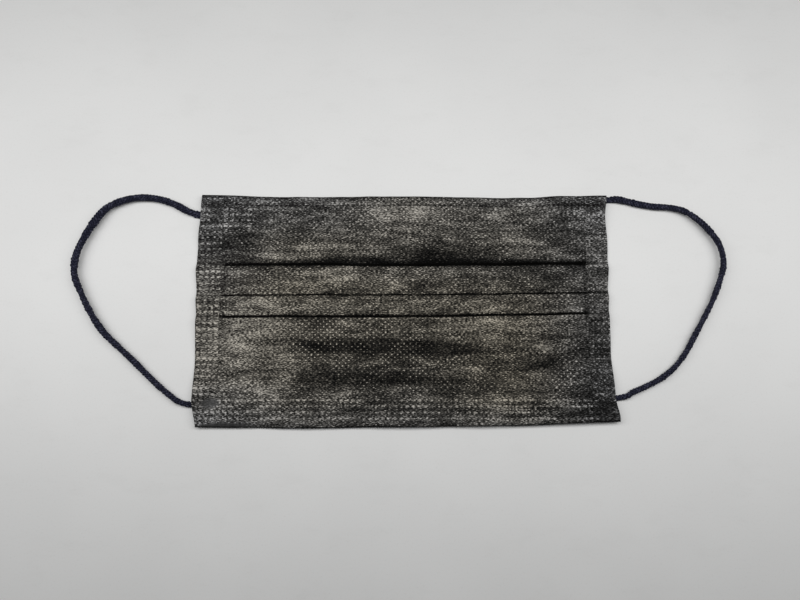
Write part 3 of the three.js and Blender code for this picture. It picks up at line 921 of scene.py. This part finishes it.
def spunbond_finish(cloth, seam=False):
    """Charcoal spunbond: bond points, pale filaments and cloudy fibre density, darkened in places
    by painted shade that the mesh carries.
    """
    finish = Finish("spunbond_seam" if seam else "spunbond_cloth")
    cut, place = finish.uv("cut"), finish.place()
    x, y = finish.sides(place)
    clear_points = finish.attribute("clear_points")
    grain = cut.times(0.25, 1, 1)
    clouds = grain.noise(9 * MM, 2, 0.55)
    flocks = grain.moved(0.7, 0.2, 0).noise(2.4 * MM, 1)
    tufts = grain.noise(0.37 * MM, 1, 0.6)
    specks = grain.moved(0.31, 0.17, 0).noise(0.24 * MM, 0)
    streaks = fibres(finish, cut)
    lattice = bond_points(finish, cut, cloth)
    fullness = cut.noise(9 * MM).ramp(0.40, 0.62)
    points = lattice.ramp(0.55, 1) * (fullness * 0.55 + clear_points)
    pressed = pressed_seam(x, y) if seam else pressed_fields(x, y)
    bars = pressed_bars(x, y, cloth) * fullness.ramp(0, 1, 0.5, 1) * pressed
    texture = (tufts - 0.5) * TUFT_WEIGHT + (specks - 0.5) * SPECK_WEIGHT
    texture = texture * clear_points.ramp(0, 1, 1, 0.75) + (flocks - 0.5) * FLOCK_WEIGHT
    texture = texture + streaks * FIBRE_WEIGHT + lattice * LATTICE_WEIGHT + bars * BAR_WEIGHT
    texture = texture + points * (SEAM_POINT_WEIGHT if seam else POINT_WEIGHT)
    texture = (texture - joint_lines(finish, x, y, place)) * finish.attribute("textured")
    # The attribute read here carries painted shade from the valleys, creases, grooves and rounded
    # edges into the base colour, next to the cloth's own random density.
    density = (clouds - 0.5) * CLOUD_WEIGHT + (0.5 + cloth.density) + finish.attribute("tone_and_painted_light")
    density = density + texture
    powers = {0: 2.0, 1: density * 6.0 - 6.0}
    shine = finish.node("ShaderNodeMath", powers, operation="POWER").math("MINIMUM", MOST_SHINE)
    warmth = finish.attribute("warmth") * density.ramp(0, 0.45)
    hue = {0: warmth.blend(cloth.cool_colour, cloth.warm_colour), "Scale": shine}
    finish.set(Base_Color=finish.node("ShaderNodeVectorMath", hue, operation="SCALE"))
    finish.set(Normal=(streaks * 0.3 + points * 0.3 + tufts).bump(0.16 * MM))
    finish.set(Roughness=density.ramp(0.1, 0.9, 0.75, 0.45))
    finish.set(Specular_IOR_Level=0.05, Specular_Tint=(1.0, 0.95, 0.88, 1.0))
    return finish.material


def elastic_finish(name, loop, gloss):
    """Navy elastic yarn with painted light: each strand is painted paler along its crown as a
    highlight and darker at its sides as shade, and is flecked with painted glints where it fans
    out.
    """
    finish = Finish(name)
    strand = finish.uv("strand")
    around, _ = finish.sides(strand)
    filaments = strand.times(6, 400, 1).noise(1, 2, 0.6)
    painted_glints = strand.times(1.3, 1100, 1).noise(1, 1)
    # Painted highlight along each strand's crown and painted shade at its sides, mixed with the
    # filaments' own random tone.
    tone_and_painted_light = (filaments * 0.9 + around.wave(1, "SINE")).ramp(0.55, 1.55)
    yarn = tone_and_painted_light.blend(loop.dark_colour, loop.pale_colour)
    # Painted glints on the strands' crowns.
    yarn = (painted_glints.ramp(0.50, 0.64) * tone_and_painted_light).blend(yarn, loop.painted_glint_colour)
    finish.set(Base_Color=yarn, Normal=filaments.bump(0.05 * MM))
    finish.set(Roughness=tone_and_painted_light.ramp(0, 1, gloss + 0.1, gloss))
    finish.set(Specular_IOR_Level=0.08, Specular_Tint=(0.75, 0.8, 1.0, 1.0))
    return finish.material


def table_finish(stage):
    """A pale matt table top with faint wipe marks and speckle."""
    finish = Finish("pale_table")
    place = finish.place()
    cloud = place.noise(60 * MM).ramp(0.3, 0.7)
    smudge = place.times(1, 2, 1).noise(22 * MM, 4, 0.65).ramp(0.50, 0.72)
    speck = place.noise(0.8 * MM).ramp(0.56, 0.70)
    base = cloud.blend(CLOUD_SHADE * np.array(stage.table_colour), stage.table_colour)
    base = (smudge * 0.05 + speck * 0.07).blend(base, DIRT_COLOUR)
    finish.set(Base_Color=base, Roughness=0.55)
    return finish.material


# What a user would change


def length(name, description, default, low, high):
    """A length whose default and limits are given in millimetres."""
    return FloatProperty(
        name=name,
        description=description,
        default=default * MM,
        min=low * MM,
        max=high * MM,
        precision=5,
        unit="LENGTH",
        subtype="DISTANCE",
    )


def amount(name, description, default, **limits):
    kind = IntProperty if isinstance(default, int) else FloatProperty
    return kind(name=name, description=description, default=default, **limits)


def colour(name, description, *default):
    limits = {"size": 3, "min": 0.0, "max": 1.0, "subtype": "COLOR"}
    return FloatVectorProperty(name=name, description=description, default=default, **limits)


class MaskClothSettings(bpy.types.PropertyGroup):
    """Sizes and colours of the pleated panel."""

    wall: length("Wall", "Thickness of the three plies together", 0.6, 0.3, 1)
    layer_gap: length("Layer gap", "Gap between folded layers", 0.15, 0.05, 0.4)
    clearance: length("Clearance", "Gap under the cloth", 0.15, 0, 1)
    seam_skin: length("Seam skin", "How far a seam stands over the cloth", 0.12, 0, 0.5)
    mesh_step: length("Mesh step", "Length of a face along the section", 1, 0.3, 3)
    relief: amount("Relief", "Strength of small swells", 1.0, min=0.0, max=2.0)
    bond_pitch_x: length("Bond pitch X", "Spacing of bond points in a row", 2.56, 1, 4)
    bond_pitch_y: length("Bond pitch Y", "Spacing of every second row", 2.30, 1, 4)
    dash_pitch_x: length("Bar pitch X", "Spacing of the columns of bars", 2.5, 1, 5)
    dash_pitch_y: length("Bar pitch Y", "Spacing of the bars in a column", 2.45, 0.8, 4)
    dash_depth: length("Bar depth", "Depth of the seam's pressed bars", 0.12, 0, 0.3)
    density: amount("Density", "How densely pale filaments lie", 0.022)
    warm_colour: colour("Warm", "Colour of the dense filaments", 0.314, 0.285, 0.229)
    cool_colour: colour("Cool", "Colour of thin and of melted filaments", 0.286, 0.286, 0.289)


class EarLoopSettings(bpy.types.PropertyGroup):
    """Sizes and colours of the elastic ear loops."""

    diameter: length("Diameter", "Thickness of the cord", 2.8, 2, 5)
    lead: length("Lead", "Length in which a strand goes once round", 7.6, 5, 20)
    strand_width: length("Strand width", "Width of one flat strand", 0.92, 0.3, 1.5)
    strand_thickness: length("Strand thickness", "Thickness of one strand", 0.50, 0.1, 0.8)
    weave: length("Weave", "How far strands rise and dip as they cross", 0.22, 0, 0.4)
    step: length("Step", "Length of a face along the cord", 0.19, 0.1, 1)
    strands: amount("Strands", "Strands that run each way round", 6, min=4, max=16)
    strand_sides: amount("Strand sides", "Sides of a strand", 6, min=4, max=12)
    # The yarn's dark colour is painted as shade at each strand's sides and between the strands, its
    # pale colour as a highlight along the crowns, and its glint colour as painted glints.
    dark_colour: colour("Dark", "Colour between filaments", 0.0045, 0.0047, 0.0088)
    pale_colour: colour("Pale", "Colour of the filaments", 0.019, 0.020, 0.035)
    painted_glint_colour: colour("Glint", "Colour where the yarn shines", 0.050, 0.051, 0.080)


class StageSettings(bpy.types.PropertyGroup):
    """The table, the camera and the lights."""

    table_colour: colour("Table", "Colour of the table top", 0.80, 0.80, 0.79)
    table_side: length("Table side", "Side of the square table top", 4000, 1000, 10000)
    camera_distance: length("Camera distance", "From the lens to the aim point", 255.5, 100, 2000)
    camera_tilt: amount(
        "Camera tilt", "Tilt from straight down", np.radians(8.0), unit="ROTATION", subtype="ANGLE"
    )
    lens: amount("Lens", "Focal length", 27.05, min=10.0, max=120.0, unit="CAMERA")
    key_power: amount("Ceiling light", "Power of the light", 1.33, unit="POWER")
    sky: amount("Room light", "Strength of the light all round", 0.12, min=0.0)


# Operators


def place_in_scene(context, name, data, place):
    item = bpy.data.objects.new(name, data)
    item.location = place
    context.scene.collection.objects.link(item)
    return item


class MASK_OT_stage(bpy.types.Operator):
    """Lays the table, and sets the camera and the soft lights"""

    bl_idname = "mask.lay_stage"
    bl_label = "Lay Stage"

    def execute(self, context):
        stage = context.scene.mask_stage
        half = stage.table_side / 2.0
        corners = half * np.array([(-1, -1, 0), (1, -1, 0), (1, 1, 0), (-1, 1, 0)])
        table = mesh_object("table_top", corners, np.array([[0, 1, 2, 3]]))
        table.data.materials.append(table_finish(stage))
        tilt = stage.camera_tilt
        back = stage.camera_distance * np.array([0.0, -np.sin(tilt), np.cos(tilt)])
        lens = bpy.data.cameras.new("camera")
        lens.lens = stage.lens
        lens.clip_start = 5 * MM
        camera = place_in_scene(context, "camera", lens, AIM_POINT + back)
        camera.rotation_euler = (tilt, 0.0, 0.0)
        context.scene.camera = camera
        lamp = bpy.data.lights.new("ceiling_light", "AREA")
        lamp.shape = "RECTANGLE"
        lamp.size, lamp.size_y = LIGHT_SIDES
        lamp.energy = stage.key_power
        place_in_scene(context, "ceiling_light", lamp, LIGHT_PLACE)
        room = bpy.data.worlds.new("room")
        room.use_nodes = True
        background = room.node_tree.nodes["Background"]
        background.inputs["Color"].default_value = ROOM_COLOUR
        background.inputs["Strength"].default_value = stage.sky
        context.scene.world = room
        context.scene.view_settings.view_transform = "Standard"
        return {"FINISHED"}


class MASK_OT_ear_loops(bpy.types.Operator):
    """Braids the two ear loops and their flattened, fused ends"""

    bl_idname = "mask.braid_ear_loops"
    bl_label = "Braid Ear Loops"

    def execute(self, context):
        loop = context.scene.mask_ear_loop
        elastic = elastic_finish("ear_loop_yarn", loop, 0.62)
        fused = elastic_finish("fused_yarn", loop, 0.40)
        for side, route in LOOP_ROUTES.items():
            *sections, start, end = cord_sections(side, loop)
            line, along = sections[:2]
            first, last = np.searchsorted(along, (start, end))
            cord_part = slice(first, last + 1)
            stretches = (
                (f"loop_end_upper_{side}", slice(0, first + 1), fused, f"loop_weld_upper_{side}"),
                (f"braided_loop_{side}", cord_part, elastic, f"ear_loop_{side}"),
                (f"loop_end_lower_{side}", slice(last, None), fused, f"loop_weld_lower_{side}"),
            )
            for name, part, material, solid in stretches:
                piece = braid_piece(name, [values[part] for values in sections], loop)
                piece.data.materials.append(material)
                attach(piece, "root")
                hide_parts(solid)
            np.multiply(route[0], MM)
            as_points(line[cord_part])
        return {"FINISHED"}


class MASK_OT_panel(bpy.types.Operator):
    """Folds the pleated panel and fuses its two side seams"""

    bl_idname = "mask.fold_panel"
    bl_label = "Fold Panel"

    def execute(self, context):
        cloth = context.scene.mask_cloth
        panel = panel_piece(cloth)
        panel.data.materials.append(spunbond_finish(cloth))
        sides = {"side_seam_left": -1.0, "side_seam_right": 1.0}
        seams = [seam_piece(name, side, cloth) for name, side in sides.items()]
        seam_cloth = spunbond_finish(cloth, seam=True)
        for seam in seams:
            seam.data.materials.append(seam_cloth)
        for piece in (panel, *seams):
            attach(piece, "root")
            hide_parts("pleated_panel")
        return {"FINISHED"}


class MASK_PT_sidebar(bpy.types.Panel):
    """Lists the mask's settings and the operators that build it"""

    bl_label = "Face Mask"
    bl_idname = "MASK_PT_sidebar"
    bl_space_type = "VIEW_3D"
    bl_region_type = "UI"
    bl_category = "Face Mask"

    def draw(self, context):
        for operator, settings in zip(OPERATORS, SETTINGS):
            group = getattr(context.scene, settings)
            box = self.layout.box()
            for name in group.bl_rna.properties.keys():
                if name not in ("name", "rna_type"):
                    box.prop(group, name)
            box.operator(operator.bl_idname)


OPERATORS = (MASK_OT_stage, MASK_OT_ear_loops, MASK_OT_panel)
SETTINGS = {
    "mask_stage": StageSettings,
    "mask_ear_loop": EarLoopSettings,
    "mask_cloth": MaskClothSettings,
}
CLASSES = (*SETTINGS.values(), *OPERATORS, MASK_PT_sidebar)


def register():
    for item in CLASSES:
        bpy.utils.register_class(item)
    for name, settings in SETTINGS.items():
        setattr(bpy.types.Scene, name, PointerProperty(type=settings))


def unregister():
    for name in SETTINGS:
        delattr(bpy.types.Scene, name)
    for item in reversed(CLASSES):
        bpy.utils.unregister_class(item)


def main():
    register()
    bpy.ops.mask.lay_stage()
    bpy.ops.mask.braid_ear_loops()
    bpy.ops.mask.fold_panel()


if __name__ == "__main__":
    main()
